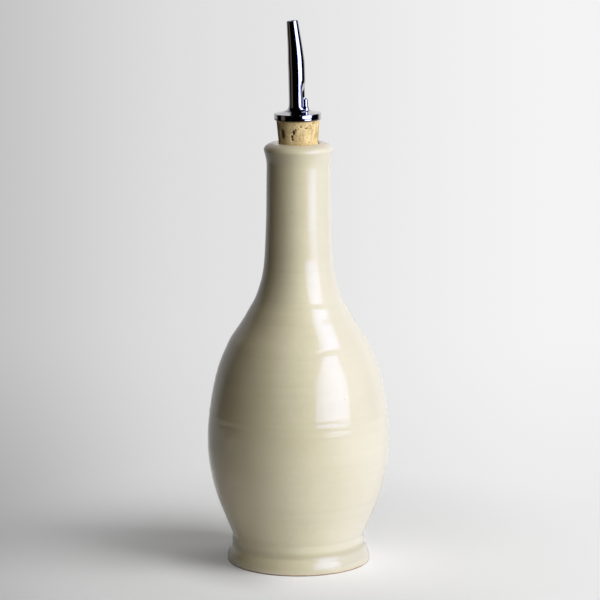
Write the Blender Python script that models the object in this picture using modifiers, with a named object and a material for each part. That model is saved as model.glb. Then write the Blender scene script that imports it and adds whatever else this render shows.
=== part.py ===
"""Drizzle bottle: a thrown stoneware bottle, corked, with a chromed pourer.

Units are metres, +Z is up, and the origin is the centre of the foot, on the
surface that the bottle stands on. The pour side is to the left and a little
away from the front (-X, +Y), and the air tube stands on the other side.
"""
import math

import bmesh
import bpy
import numpy as np

# Gap kept between pieces that touch in the real thing.
GAP = 0.0003
# Points of a turned profile that lie nearer than this on its axis become one.
MERGE_LIMIT = 0.00001

# Bottle: foot ring, waist, the outline's stations (height, radius) and the lip.
FOOT_RADIUS = 0.0426
FOOT_SWELL = 0.0040
FOOT_EQUATOR = 0.0015
FOOT_SWELL_HEIGHT = 0.0071
FOOT_EDGE = 0.0006
RECESS_RADIUS = 0.0330
RECESS_DEPTH = 0.0015
WAIST_RADIUS = 0.0395
WAIST_BOTTOM = 0.0084
WAIST_TOP = 0.0168
WAIST_SLOPE = 0.45
OUTLINE = (
    (0.026, 0.0433),
    (0.038, 0.0481),
    (0.052, 0.0519),
    (0.070, 0.0541),
    (0.090, 0.0530),
    (0.108, 0.0500),
    (0.122, 0.0459),
    (0.134, 0.0405),
    (0.145, 0.0331),
    (0.157, 0.0265),
    (0.171, 0.0217),
    (0.190, 0.0197),
    (0.210, 0.0190),
    (0.226, 0.0187),
    (0.238, 0.0190),
)
LIP_RADIUS = 0.0204
LIP_EQUATOR = 0.2467
LIP_CREST_RADIUS = 0.0134
LIP_CREST = 0.2510
MOUTH_RADIUS = 0.0118
SEAT_DEPTH = 0.0170
SEAT_TAPER = 0.0009
FOOT_TOP_ANGLE = 77.0
FOOT_POINTS = 8
WALL_POINTS = 33
LIP_POINTS = 8
INNER_LIP_POINTS = 5
BOTTLE_STEPS = 48

# Stopper: heights from here on are above the mouth, along the stopper's own axis.
MOUTH_HEIGHT = 0.2500
STOPPER_LEAN = math.radians(1.3)
CORK_TOP_RADIUS = 0.0126
CORK_MOUTH_RADIUS = 0.01145
CORK_TOP = 0.0142
CORK_BOTTOM = -0.0155
CORK_EDGE = 0.0004
CORK_STEPS = 40

# Cap: a flat rim that rises in a low cone to the round foot of the spout.
CAP_RADIUS = 0.01385
CAP_BOTTOM = CORK_TOP + GAP
CAP_RIM_TOP = 0.0184
CAP_EDGE = 0.0006
CAP_RISE = 0.0011
CAP_RISE_RADIUS = 0.00755
CAP_RISE_CURVE = 1.3
CAP_RISE_POINTS = 6
CAP_EDGE_POINTS = 4
CAP_SINK_FLOOR = 0.0183
CAP_STEPS = 48

# Spout: heights are above the cap's rim. The foot flares, the tube is pressed in
# beside the air tube, bends a little towards the pour side and tapers to its tip.
POUR_ANGLE = math.radians(152.0)
SPOUT_RADIUS = 0.0050
SPOUT_TIP_RADIUS = 0.0034
SPOUT_WALL = 0.0007
SPOUT_HEIGHT = 0.0538
TAPER_START = 0.0300
FOOT_FLARE = 0.0022
FLARE_DECAY = 0.0012
SPOUT_FOOT_BOTTOM = 0.0002
SPOUT_FOOT_TOP = 0.0011
BORE_FLOOR = 0.0046
BEND_START = 0.0220
BEND_END = 0.0420
BEND_SLOPE = 0.101
DENT_DEPTH = 0.0019
DENT_WIDTH = 0.52
DENT_SHELF = 0.0033
DENT_FULL = 0.0110
DENT_END = 0.0195
SHELF_STEP = 0.0001
FLARE_RINGS = 4
DENT_RINGS = 9
UPPER_RINGS = 12
BORE_RINGS = 7
SPOUT_SIDES = 32
SHARP_ANGLE = math.radians(40.0)

# Air tube: a short open pipe with a ferrule, its top cut on the slant.
VENT_OFFSET = 0.0051
VENT_RADIUS = 0.0016
VENT_BORE = 0.0011
VENT_TOP = 0.0090
VENT_CUT_SLOPE = math.radians(24.0)
VENT_CUT_BLOCK = 0.0100
VENT_CUT_DROP = 0.0005
FERRULE_RADIUS = 0.0021
FERRULE_BOTTOM = 0.0015
FERRULE_TOP = 0.0034
POCKET_TOP = 0.0038
VENT_STEPS = 20

# Surfaces: red, green and blue of each, and how rough it is.
GLAZE_COLOUR = (0.58, 0.53, 0.39)
GLAZE_ROUGHNESS = 0.10
CORK_COLOUR = (0.51, 0.38, 0.18)
CORK_ROUGHNESS = 0.85
CHROME_COLOUR = (0.60, 0.59, 0.62)
CHROME_ROUGHNESS = 0.08


def clear_scene():
    """Removes every object of the scene."""
    for item in list(bpy.data.objects):
        bpy.data.objects.remove(item, do_unlink=True)


def make_collection(name):
    """Returns a new collection linked to the scene."""
    group = bpy.data.collections.new(name)
    bpy.context.scene.collection.children.link(group)
    return group


def make_material(name, colour, roughness, metallic):
    """Returns a Principled material of one colour."""
    material = bpy.data.materials.new(name)
    material.use_nodes = True
    shader = material.node_tree.nodes["Principled BSDF"]
    shader.inputs["Base Color"].default_value = (*colour, 1.0)
    shader.inputs["Roughness"].default_value = roughness
    shader.inputs["Metallic"].default_value = metallic
    material.diffuse_color = (*colour, 1.0)
    return material


def cubic_through(heights, radii, first_slope, last_slope, at):
    """Radius at the heights `at`, on the smooth cubic curve through the stations.

    The curve has the given slopes at its two ends, and its curvature is
    continuous at each station.
    """
    steps = np.diff(heights)
    slopes = np.diff(radii) / steps
    count = len(heights)
    matrix = np.zeros((count, count))
    target = np.zeros(count)
    matrix[0, :2] = 2.0 * steps[0], steps[0]
    matrix[-1, -2:] = steps[-1], 2.0 * steps[-1]
    target[0] = 6.0 * (slopes[0] - first_slope)
    target[-1] = 6.0 * (last_slope - slopes[-1])
    for i in range(1, count - 1):
        matrix[i, i - 1:i + 2] = steps[i - 1], 2.0 * (steps[i - 1] + steps[i]), steps[i]
        target[i] = 6.0 * (slopes[i] - slopes[i - 1])
    bend = np.linalg.solve(matrix, target)
    span = np.clip(np.searchsorted(heights, at) - 1, 0, count - 2)
    run = at - heights[span]
    step = steps[span]
    rate = slopes[span] - step * (2.0 * bend[span] + bend[span + 1]) / 6.0
    twist = (bend[span + 1] - bend[span]) / (6.0 * step)
    return radii[span] + run * (rate + run * (bend[span] / 2.0 + run * twist))


def ellipse_arc(centre, half_width, half_height, start, end, count):
    """Points (radius, height) on an ellipse, from one angle to another, in degrees."""
    angles = np.radians(np.linspace(start, end, count))
    across = centre[0] + half_width * np.cos(angles)
    up = centre[1] + half_height * np.sin(angles)
    return list(zip(across, up))


def turned(name, profile, steps, group):
    """A closed solid turned about Z from a profile of (radius, height) points."""
    mesh = bpy.data.meshes.new(name)
    vertices = [(radius, 0.0, height) for radius, height in profile]
    edges = [(i, i + 1) for i in range(len(profile) - 1)]
    mesh.from_pydata(vertices, edges, [])
    item = bpy.data.objects.new(name, mesh)
    group.objects.link(item)
    screw = item.modifiers.new("Turn", "SCREW")
    screw.axis = "Z"
    screw.steps = steps
    screw.render_steps = steps
    screw.use_merge_vertices = True
    screw.merge_threshold = MERGE_LIMIT
    screw.use_smooth_shade = True
    return item


def cut(item, cutter, name):
    """Cuts one object's shape out of another."""
    cutter.hide_render = True
    cutter.display_type = "WIRE"
    boolean = item.modifiers.new(name, "BOOLEAN")
    boolean.operation = "DIFFERENCE"
    boolean.solver = "EXACT"
    boolean.object = cutter


def lip_profile():
    """The lip, from the inner edge over the crest to its widest ring."""
    roll = LIP_CREST_RADIUS - MOUTH_RADIUS
    inner_centre = (LIP_CREST_RADIUS, LIP_CREST - roll)
    inner = ellipse_arc(inner_centre, roll, roll, 180.0, 90.0, INNER_LIP_POINTS)
    swell = LIP_RADIUS - LIP_CREST_RADIUS
    outer_centre = (LIP_CREST_RADIUS, LIP_EQUATOR)
    outer = ellipse_arc(outer_centre, swell, LIP_CREST - LIP_EQUATOR, 90.0, 0.0, LIP_POINTS)
    return inner + outer[1:]


def wall_profile():
    """The outer wall, from below the lip's widest ring down to the waist."""
    stations = [(WAIST_TOP, WAIST_RADIUS), *OUTLINE, (LIP_EQUATOR, LIP_RADIUS)]
    heights, radii = np.array(stations).T
    at = np.linspace(LIP_EQUATOR, WAIST_TOP, WALL_POINTS + 1)[1:]
    across = cubic_through(heights, radii, WAIST_SLOPE, 0.0, at)
    return list(zip(across, at))


def foot_profile():
    """The foot ring, from the waist over its swell to the flat underside."""
    centre = (FOOT_RADIUS - FOOT_SWELL, FOOT_EQUATOR)
    swell = ellipse_arc(centre, FOOT_SWELL, FOOT_SWELL_HEIGHT, FOOT_TOP_ANGLE, 0.0, FOOT_POINTS)
    underside = [
        (FOOT_RADIUS, FOOT_EDGE),
        (FOOT_RADIUS - FOOT_EDGE, 0.0),
        (RECESS_RADIUS, 0.0),
        (RECESS_RADIUS - RECESS_DEPTH, RECESS_DEPTH),
        (0.0, RECESS_DEPTH),
    ]
    return [(WAIST_RADIUS, WAIST_BOTTOM)] + swell + underside


def make_bottle(group):
    """The stoneware bottle, with a tapered seat for the cork in its mouth."""
    seat_floor = LIP_CREST - SEAT_DEPTH
    seat = [(0.0, seat_floor), (MOUTH_RADIUS - SEAT_TAPER, seat_floor)]
    profile = seat + lip_profile() + wall_profile() + foot_profile()
    bottle = turned("bottle", profile, BOTTLE_STEPS, group)
    bottle.data.materials.append(make_material("glazed stoneware", GLAZE_COLOUR, GLAZE_ROUGHNESS, 0.0))
    return bottle


def make_cork(group):
    """The tapered cork, pressed into the mouth."""
    taper = (CORK_TOP_RADIUS - CORK_MOUTH_RADIUS) / CORK_TOP
    bottom_radius = CORK_MOUTH_RADIUS + taper * CORK_BOTTOM
    profile = [
        (0.0, CORK_TOP),
        (CORK_TOP_RADIUS - CORK_EDGE, CORK_TOP),
        (CORK_TOP_RADIUS, CORK_TOP - CORK_EDGE),
        (CORK_MOUTH_RADIUS, 0.0),
        (bottom_radius, CORK_BOTTOM + CORK_EDGE),
        (bottom_radius - CORK_EDGE, CORK_BOTTOM),
        (0.0, CORK_BOTTOM),
    ]
    cork = turned("cork", profile, CORK_STEPS, group)
    cork.data.materials.append(make_material("cork", CORK_COLOUR, CORK_ROUGHNESS, 0.0))
    return cork


def make_cap(group, chrome):
    """The metal cap on the cork, sunk in the middle to take the spout's foot."""
    flat_radius = CAP_RADIUS - CAP_EDGE
    share = np.linspace(0.0, 1.0, CAP_RISE_POINTS)
    across = CAP_RISE_RADIUS + (flat_radius - CAP_RISE_RADIUS) * share
    up = CAP_RIM_TOP + CAP_RISE * (1.0 - share) ** CAP_RISE_CURVE
    rise = list(zip(across, up))
    top_centre = (flat_radius, CAP_RIM_TOP - CAP_EDGE)
    top_edge = ellipse_arc(top_centre, CAP_EDGE, CAP_EDGE, 90.0, 0.0, CAP_EDGE_POINTS)
    bottom_centre = (flat_radius, CAP_BOTTOM + CAP_EDGE)
    bottom_edge = ellipse_arc(bottom_centre, CAP_EDGE, CAP_EDGE, 0.0, -90.0, CAP_EDGE_POINTS)
    sink = [(0.0, CAP_SINK_FLOOR), (CAP_RISE_RADIUS, CAP_SINK_FLOOR)]
    profile = sink + rise + top_edge[1:] + bottom_edge + [(0.0, CAP_BOTTOM)]
    cap = turned("pourer_cap", profile, CAP_STEPS, group)
    cap.data.materials.append(chrome)
    return cap


def spout_radius(height):
    """Outer radius of the undented spout at a height above the cap's rim."""
    flare = FOOT_FLARE * math.exp(-(height - SPOUT_FOOT_TOP) / FLARE_DECAY)
    taper = max(0.0, height - TAPER_START) / (SPOUT_HEIGHT - TAPER_START)
    return SPOUT_RADIUS + flare - (SPOUT_RADIUS - SPOUT_TIP_RADIUS) * taper


def spout_drift(height):
    """How far the spout's middle line has moved to the pour side, and its slope."""
    run = min(max(height - BEND_START, 0.0), BEND_END - BEND_START)
    slope = BEND_SLOPE * run / (BEND_END - BEND_START)
    return slope * run / 2.0 + BEND_SLOPE * max(0.0, height - BEND_END), slope


def dent_share(height):
    """Depth of the pressed-in side, from 0 to 1: full above the shelf, then fading."""
    if height < DENT_SHELF:
        return 0.0
    fade = min(max((height - DENT_FULL) / (DENT_END - DENT_FULL), 0.0), 1.0)
    return 1.0 - fade * fade * (3.0 - 2.0 * fade)


def spout_ring(height, inset):
    """One ring of the spout, square to its middle line, inset from the outer wall."""
    angles = np.linspace(0.0, 2.0 * math.pi, SPOUT_SIDES, endpoint=False)
    away = np.angle(np.exp(1j * (angles - POUR_ANGLE - math.pi)))
    dent = DENT_DEPTH * dent_share(height) * np.exp(-((away / DENT_WIDTH) ** 2))
    radius = spout_radius(height) - inset - dent
    drift, slope = spout_drift(height)
    along = radius * np.cos(angles - POUR_ANGLE)
    aside = radius * np.sin(angles - POUR_ANGLE)
    forward = drift + along * math.cos(math.atan(slope))
    x = forward * math.cos(POUR_ANGLE) - aside * math.sin(POUR_ANGLE)
    y = forward * math.sin(POUR_ANGLE) + aside * math.cos(POUR_ANGLE)
    z = CAP_RIM_TOP + height - along * math.sin(math.atan(slope))
    return np.column_stack([x, y, z])


def make_spout(group, cutters, chrome):
    """The spout: a loft of round and dented rings, open at the tip."""
    foot = spout_ring(SPOUT_FOOT_TOP, 0.0)
    foot[:, 2] = CAP_RIM_TOP + SPOUT_FOOT_BOTTOM
    flare = np.linspace(SPOUT_FOOT_TOP, DENT_SHELF - SHELF_STEP, FLARE_RINGS)
    tube = np.linspace(DENT_SHELF + SHELF_STEP, DENT_END, DENT_RINGS)
    upper = np.linspace(DENT_END, SPOUT_HEIGHT, UPPER_RINGS)[1:]
    upper_bore = np.linspace(SPOUT_HEIGHT, DENT_END, BORE_RINGS)
    lower_bore = np.linspace(DENT_END, BORE_FLOOR, BORE_RINGS)[1:]
    outer_rings = [spout_ring(height, 0.0) for height in (*flare, *tube, *upper)]
    bore_rings = [spout_ring(height, SPOUT_WALL) for height in (*upper_bore, *lower_bore)]
    rings = [foot, *outer_rings, *bore_rings]

    mesh = bpy.data.meshes.new("spout")
    frame = bmesh.new()
    loops = [[frame.verts.new(point) for point in ring] for ring in rings]
    for lower, higher in zip(loops, loops[1:]):
        for i in range(SPOUT_SIDES):
            j = (i + 1) % SPOUT_SIDES
            frame.faces.new((lower[i], lower[j], higher[j], higher[i]))
    frame.faces.new(list(reversed(loops[0])))
    frame.faces.new(loops[-1])
    bmesh.ops.recalc_face_normals(frame, faces=frame.faces)
    frame.to_mesh(mesh)
    frame.free()
    mesh.shade_smooth()
    mesh.set_sharp_from_angle(angle=SHARP_ANGLE)
    spout = bpy.data.objects.new("spout", mesh)
    group.objects.link(spout)
    mesh.materials.append(chrome)

    low = CAP_RIM_TOP + FERRULE_BOTTOM - GAP
    high = CAP_RIM_TOP + POCKET_TOP
    radius = FERRULE_RADIUS + GAP
    outline = [(0.0, high), (radius, high), (radius, low), (0.0, low)]
    pocket = turned("ferrule_pocket", outline, VENT_STEPS, cutters)
    pocket.location = vent_place()
    cut(spout, pocket, "Ferrule pocket")
    return spout, pocket


def vent_place():
    """Where the air tube stands, opposite the pour side."""
    away = POUR_ANGLE + math.pi
    return VENT_OFFSET * math.cos(away), VENT_OFFSET * math.sin(away), 0.0


def make_vent(group, cutters, chrome):
    """The air tube: a turned pipe with a ferrule, cut on the slant at the top."""
    floor = CAP_RIM_TOP + FERRULE_TOP
    top = CAP_RIM_TOP + VENT_TOP + VENT_RADIUS
    profile = [
        (0.0, floor),
        (VENT_BORE, floor),
        (VENT_BORE, top),
        (VENT_RADIUS, top),
        (VENT_RADIUS, CAP_RIM_TOP + FERRULE_TOP + FERRULE_RADIUS - VENT_RADIUS),
        (FERRULE_RADIUS, CAP_RIM_TOP + FERRULE_TOP),
        (FERRULE_RADIUS, CAP_RIM_TOP + FERRULE_BOTTOM),
        (0.0, CAP_RIM_TOP + FERRULE_BOTTOM),
    ]
    vent = turned("vent_tube", profile, VENT_STEPS, group)
    vent.location = vent_place()
    vent.data.materials.append(chrome)

    bpy.ops.mesh.primitive_cube_add(size=VENT_CUT_BLOCK)
    slant = bpy.context.object
    slant.name = "vent_slant"
    slant.rotation_euler = (0.0, VENT_CUT_SLOPE, POUR_ANGLE + math.pi)
    lift = VENT_CUT_BLOCK / 2.0 / math.cos(VENT_CUT_SLOPE)
    place = vent_place()
    slant.location = (place[0], place[1], CAP_RIM_TOP + VENT_TOP - VENT_CUT_DROP + lift)
    for owner in list(slant.users_collection):
        owner.objects.unlink(slant)
    cutters.objects.link(slant)
    cut(vent, slant, "Slanted top")
    return vent, slant


def build():
    """Makes every piece and leans the stopper's pieces with the cork."""
    clear_scene()
    pieces = make_collection("drizzle_bottle")
    cutters = make_collection("drizzle_bottle_cutters")
    chrome = make_material("chromed metal", CHROME_COLOUR, CHROME_ROUGHNESS, 1.0)
    make_bottle(pieces)
    stopper = bpy.data.objects.new("stopper", None)
    pieces.objects.link(stopper)
    cork = make_cork(pieces)
    cap = make_cap(pieces, chrome)
    spout, pocket = make_spout(pieces, cutters, chrome)
    vent, slant = make_vent(pieces, cutters, chrome)
    for item in (cork, cap, spout, pocket, vent, slant):
        item.parent = stopper
    stopper.location = (0.0, 0.0, MOUTH_HEIGHT)
    stopper.rotation_euler = (0.0, -STOPPER_LEAN, 0.0)
    bpy.context.view_layer.update()


build()
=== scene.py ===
"""Drizzle bottle for oil: thrown stoneware under an ivory glaze, corked, with a chromed pourer.

Units are metres and +Z is up. The bottle stands on the origin, the camera looks
along +Y, and the spout bends towards -X and +Y. Each section below is one piece,
from the table upwards, in the order in which the bottle is put together.
"""
import math

import bpy
import numpy as np
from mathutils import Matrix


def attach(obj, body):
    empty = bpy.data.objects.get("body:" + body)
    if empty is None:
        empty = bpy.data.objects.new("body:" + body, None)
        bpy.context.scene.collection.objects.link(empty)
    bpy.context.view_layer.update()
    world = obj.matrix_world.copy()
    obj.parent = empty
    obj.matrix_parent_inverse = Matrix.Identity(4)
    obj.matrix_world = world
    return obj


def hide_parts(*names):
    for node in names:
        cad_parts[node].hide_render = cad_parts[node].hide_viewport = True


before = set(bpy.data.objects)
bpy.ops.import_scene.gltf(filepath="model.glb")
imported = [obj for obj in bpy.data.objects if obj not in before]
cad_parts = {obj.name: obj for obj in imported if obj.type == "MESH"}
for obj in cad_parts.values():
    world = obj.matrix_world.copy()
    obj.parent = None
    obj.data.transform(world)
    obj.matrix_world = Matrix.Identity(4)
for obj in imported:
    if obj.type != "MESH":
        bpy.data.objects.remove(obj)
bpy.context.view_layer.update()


# View. The camera stands well back, a little above the spout, and looks down at
# the bottle's belly, as a still-life photographer sets it.
CAMERA_PLACE = (0.0009, -1.8032, 0.4962)
CAMERA_DIP = math.radians(10.65)
FOCAL_LENGTH = 3107.0
PICTURE_SIDE = 600.0
SENSOR_WIDTH = 36.0
CLIP_NEAR = 0.05
CLIP_FAR = 30.0

camera_lens = bpy.data.cameras.new("camera")
camera_lens.sensor_width = SENSOR_WIDTH
camera_lens.lens = SENSOR_WIDTH * FOCAL_LENGTH / PICTURE_SIDE
camera_lens.clip_start = CLIP_NEAR
camera_lens.clip_end = CLIP_FAR
camera = bpy.data.objects.new("camera", camera_lens)
camera.location = CAMERA_PLACE
camera.rotation_euler = (math.pi / 2.0 - CAMERA_DIP, 0.0, 0.0)
bpy.context.scene.collection.objects.link(camera)
bpy.context.scene.camera = camera
bpy.context.scene.view_settings.view_transform = "Standard"


# Floor. A white paper sweep: it lies flat round the bottle and rises in a wide
# curve well behind it, and it lies on a table that ends left, right and in front.
FLOOR_RADIUS = 2.25
SWEEP_CORNER = 0.30
SWEEP_TOP = 1.60
FLOOR_HUB = 0.01
FLOOR_RINGS = 40
CORNER_RINGS = 16
FLOOR_SIDES = 96
PAPER_TONE = 0.845
PAPER_FROM = 0.075
PAPER_TO = 0.245
# Painted light: the sweep glows, brighter to the right, darker towards the front, and lighter again at the
# front on the left.
SWEEP_GLOW_TONES = (0.50, 0.25, 0.15)
SWEEP_LEFT = (-0.13, -0.02)
SWEEP_RIGHT = (-0.04, 0.09)
SWEEP_STAND = 1.80
SWEEP_NEAR = 0.60
SWEEP_FALL = (0.40, 0.30)
SWEEP_FALL_FROM = (-0.25, 0.75)
TABLE_HALF = 0.80
TABLE_FRONT = -0.50
TABLE_SOFT = 0.02
SWEEP_FAR = (1.0, 1.2)
SWEEP_BACK = (0.36, 0.76)
SWEEP_DIM = 0.80
# Painted light: the paper is brighter to bounced light and lighter towards the back.
PAPER_LIFT = 0.15
PAINTED_LIGHT_SLOPE = 0.80
SWEEP_FRONT = 0.28
SWEEP_FRONT_FROM = (-0.07, 0.06)
# Painted contact shadow on the paper beside the foot, away from the lamps.
PAINTED_CONTACT_SHADOW = 0.30
CONTACT_SHADOW_REACH = (0.043, 0.090)
CONTACT_SHADOW_SIDE = (0.0, 0.04)


class Finish:
    """A value, a colour or a vector on its way through a material's nodes.

    It holds one output socket. A sum of two of them, or of one and a number,
    adds the Math node, or the Vector Math node where either has three parts.
    """

    THREE_PARTS = ("RGBA", "VECTOR")

    def __init__(self, tree, socket=None):
        self.tree = tree
        self.socket = socket

    def node(self, kind, settings=(), sockets=(), output=0):
        """Adds a node: its settings first, then its sockets' values or links."""
        made = self.tree.nodes.new(kind)
        for name, value in dict(settings).items():
            setattr(made, name, value)
        for key, value in dict(sockets).items():
            if isinstance(value, Finish):
                self.tree.links.new(value.socket, made.inputs[key])
            else:
                made.inputs[key].default_value = value
        return Finish(self.tree, made.outputs[output]) if made.outputs else None

    def sum(self, operation, *parts):
        """Adds the node that works out one operation on numbers or on vectors."""
        wide = any(isinstance(part, Finish) and part.socket.type in self.THREE_PARTS for part in parts)
        if not wide:
            return self.node("ShaderNodeMath", {"operation": operation}, enumerate(parts))
        full = [part if isinstance(part, (Finish, tuple)) else (part,) * 3 for part in parts]
        return self.node("ShaderNodeVectorMath", {"operation": operation}, enumerate(full))

    def __add__(self, other):
        return self.sum("ADD", self, other)

    def __radd__(self, other):
        return self.sum("ADD", other, self)

    def __sub__(self, other):
        return self.sum("SUBTRACT", self, other)

    def __rsub__(self, other):
        return self.sum("SUBTRACT", other, self)

    def __mul__(self, other):
        return self.sum("MULTIPLY", self, other)

    def __rmul__(self, other):
        return self.sum("MULTIPLY", other, self)

    def __truediv__(self, other):
        return self.sum("DIVIDE", self, other)

    def power(self, exponent):
        return self.sum("POWER", self, exponent)

    def size(self):
        return self.sum("ABSOLUTE", self)

    def most(self, other):
        return self.sum("MAXIMUM", self, other)

    def rise(self, start, end):
        """0 up to `start` and 1 from `end` on, with a soft step between them."""
        settings = {"interpolation_type": "SMOOTHSTEP"}
        return self.node("ShaderNodeMapRange", settings, {0: self, 1: start, 2: end, 3: 0.0, 4: 1.0})

    def mix(self, first, second):
        """The first colour where this value is 0, and the second where it is 1."""
        return self.node("ShaderNodeMix", {"data_type": "RGBA"}, {0: self, 6: first, 7: second}, 2)

    def part(self, axis):
        """One part, X, Y or Z, of this vector."""
        return self.node("ShaderNodeSeparateXYZ", (), {0: self}, axis)


def empty_material(name):
    """Returns a new material without nodes, and the start of its node tree."""
    material = bpy.data.materials.new(name)
    material.use_nodes = True
    material.node_tree.nodes.clear()
    return material, Finish(material.node_tree)


def surface_mesh(name, points, first_end=None, last_end=None):
    """A smooth mesh through a grid of points whose rows are closed rings.

    Point (i, j) joins its neighbours in ring i and in ring i + 1, and the last
    point of a ring joins its first. An end point closes the first or the last
    ring with a fan. Rings that run up the outside make faces that point out.
    """
    rings, sides = points.shape[:2]
    around = np.arange(sides)
    after = (around + 1) % sides
    low = np.arange(rings - 1)[:, None] * sides
    high = low + sides
    quads = np.stack([low + around, low + after, high + after, high + around], axis=-1)
    faces = quads.reshape(-1, 4).tolist()
    vertices = points.reshape(-1, 3)
    if first_end is not None:
        vertices = np.vstack([vertices, first_end])
        tip = np.full(sides, len(vertices) - 1)
        faces += np.column_stack([tip, after, around]).tolist()
    if last_end is not None:
        vertices = np.vstack([vertices, last_end])
        tip = np.full(sides, len(vertices) - 1)
        last = (rings - 1) * sides
        faces += np.column_stack([tip, last + around, last + after]).tolist()
    mesh = bpy.data.meshes.new(name)
    mesh.from_pydata(vertices.tolist(), [], faces)
    mesh.shade_smooth()
    item = bpy.data.objects.new(name, mesh)
    bpy.context.scene.collection.objects.link(item)
    return item


def turned_points(radii, heights, sides):
    """Points of a turned surface: (r cos a, r sin a, z) for each ring and each angle a."""
    angles = np.linspace(0.0, 2.0 * math.pi, sides, endpoint=False)
    across = radii[:, None] * np.cos(angles)
    aside = radii[:, None] * np.sin(angles)
    up = np.broadcast_to(heights[:, None], across.shape)
    return np.stack([across, aside, up], axis=-1)


def arc_points(centre, half_width, half_height, start, end, count):
    """Radii and heights on an ellipse, from one angle to another, in degrees."""
    angles = np.radians(np.linspace(start, end, count))
    return centre[0] + half_width * np.cos(angles), centre[1] + half_height * np.sin(angles)


def make_floor():
    """The sweep as a bowl: a flat disc, a quarter-circle corner and an upright wall."""
    flat = np.linspace(FLOOR_HUB, FLOOR_RADIUS, FLOOR_RINGS)
    corner = arc_points((FLOOR_RADIUS, SWEEP_CORNER), SWEEP_CORNER, SWEEP_CORNER, -90.0, 0.0, CORNER_RINGS)
    radii = np.concatenate([flat, corner[0][1:], [FLOOR_RADIUS + SWEEP_CORNER]])
    heights = np.concatenate([np.zeros(FLOOR_RINGS), corner[1][1:], [SWEEP_TOP]])
    points = turned_points(radii, heights, FLOOR_SIDES)[::-1]
    return surface_mesh("floor", points, None, (0.0, 0.0, 0.0))


def paper_material():
    """White paper near the bottle, and behind it the sweep, which glows with painted light, brighter to the
    right.

    The paper is a little darker to the front and lighter towards the back, as painted light, and darker
    still, with a painted contact shadow, where it meets the foot on the side away from the lamps. It is
    brighter to bounced light. The sweep throws little light of its own.
    In a reflection only the paper on the table and the sweep behind it show.
    """
    material, start = empty_material("white paper")
    place = start.node("ShaderNodeTexCoord", output="Object")
    x, y = place.part("X"), place.part("Y")
    away = start.node("ShaderNodeVectorMath", {"operation": "LENGTH"}, {0: place}, "Value")
    fan = x / (y + SWEEP_STAND).most(SWEEP_NEAR)
    left, right = fan.rise(*SWEEP_LEFT), fan.rise(*SWEEP_RIGHT)
    # The sweep's painted light: brighter to the right, darker towards the front, lighter again at the front
    # on the left.
    tone = SWEEP_GLOW_TONES[0] + left * SWEEP_GLOW_TONES[1] + right * SWEEP_GLOW_TONES[2]
    tone = tone * (1.0 - (1.0 - y.rise(*SWEEP_FALL_FROM)) * (SWEEP_FALL[0] - left * SWEEP_FALL[1]))
    tone = tone * (1.0 + (1.0 - left) * (1.0 - y.rise(*SWEEP_FRONT_FROM)) * SWEEP_FRONT)
    bounced = start.node("ShaderNodeLightPath", output="Is Diffuse Ray")
    painted_glow = start.node("ShaderNodeEmission", (), {"Strength": tone * (1.0 - bounced * SWEEP_DIM)})
    # Painted contact shadow: darker paper next to the foot on the side away from the lamps.
    unlit = (0.0 - x).rise(*CONTACT_SHADOW_SIDE) * (1.0 - y.rise(*CONTACT_SHADOW_SIDE))
    contact_shadow = (1.0 - away.rise(*CONTACT_SHADOW_REACH)) * unlit
    # Painted light on the paper: brighter to bounced light and lighter towards the back.
    shade = (1.0 + bounced * PAPER_LIFT) * (1.0 + y * PAINTED_LIGHT_SLOPE)
    shade = shade * (1.0 - contact_shadow * PAINTED_CONTACT_SHADOW) * PAPER_TONE
    white = start.node("ShaderNodeCombineXYZ", (), {0: shade, 1: shade, 2: shade})
    paper = start.node("ShaderNodeBsdfDiffuse", (), {"Color": white})
    sheet = start.node("ShaderNodeMixShader", (), {0: away.rise(PAPER_FROM, PAPER_TO), 1: paper, 2: painted_glow})
    edge = (-TABLE_SOFT, TABLE_SOFT)
    on_table = (TABLE_HALF - x.size()).rise(*edge) * (y - TABLE_FRONT).rise(*edge)
    behind = (y / away).rise(*SWEEP_BACK) * away.rise(*SWEEP_FAR)
    seen = start.node("ShaderNodeLightPath", output="Is Camera Ray")
    clear = start.node("ShaderNodeBsdfTransparent")
    whole = start.node("ShaderNodeMixShader", (), {0: seen.most(on_table.most(behind)), 1: clear, 2: sheet})
    start.node("ShaderNodeOutputMaterial", (), {"Surface": whole})
    return material


floor = make_floor()
floor.data.materials.append(paper_material())


# Light. A soft key lamp stands to the right and a wider fill lamp in front, and
# between them a tall window of three panes gives the long highlight; the room is
# dark.
KEY_TURN = math.radians(65.0)
KEY_RISE = math.radians(21.0)
KEY_DISTANCE = 1.15
LAMP_AIM = 0.12
KEY_SIDE = 0.80
KEY_GLOW = 6.2
FILL_TURN = math.radians(30.0)
FILL_RISE = math.radians(30.0)
FILL_DISTANCE = 2.0
FILL_SIDE = 1.6
FILL_GLOW = 2.9
WINDOW_TURN = math.radians(46.0)
WINDOW_DISTANCE = 1.15
PANE_SOFT = 0.020
PANE_FADE = 0.45
PANE_EDGE = 0.62
PANE_COLOUR = (0.57, 0.63, 1.16)
PANE_CORNERS = (0.4, 0.6)
# Each pane: middle's shift and its lean to the right, bottom, top, width, the
# radius of its lower and of its upper corners, radiance.
PANES = (
    ("window_upper", 0.53, 0.45, 1.08, 1.76, 1.18, 0.08, 0.10, 5.0),
    ("window_main", 0.06, 0.14, 0.118, 0.89, 1.04, 0.08, 0.36, 4.4),
    ("window_lower", 0.12, 0.00, 0.024, 0.104, 0.76, 0.03, 0.03, 3.6),
)
LAMP_SHARE = 4.0
ROOM_TONE = 0.0015
ROOM_BACK = 0.50
ROOM_BACK_RISE = (0.05, 0.25)
SCREEN_BROWN = (0.115, 0.092, 0.072, 1.0)
SCREEN_LEFT = (0.88, 0.93)
SCREEN_FRONT = (0.00, 0.05)
SCREEN_TOP = (0.20, 0.40)


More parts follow.
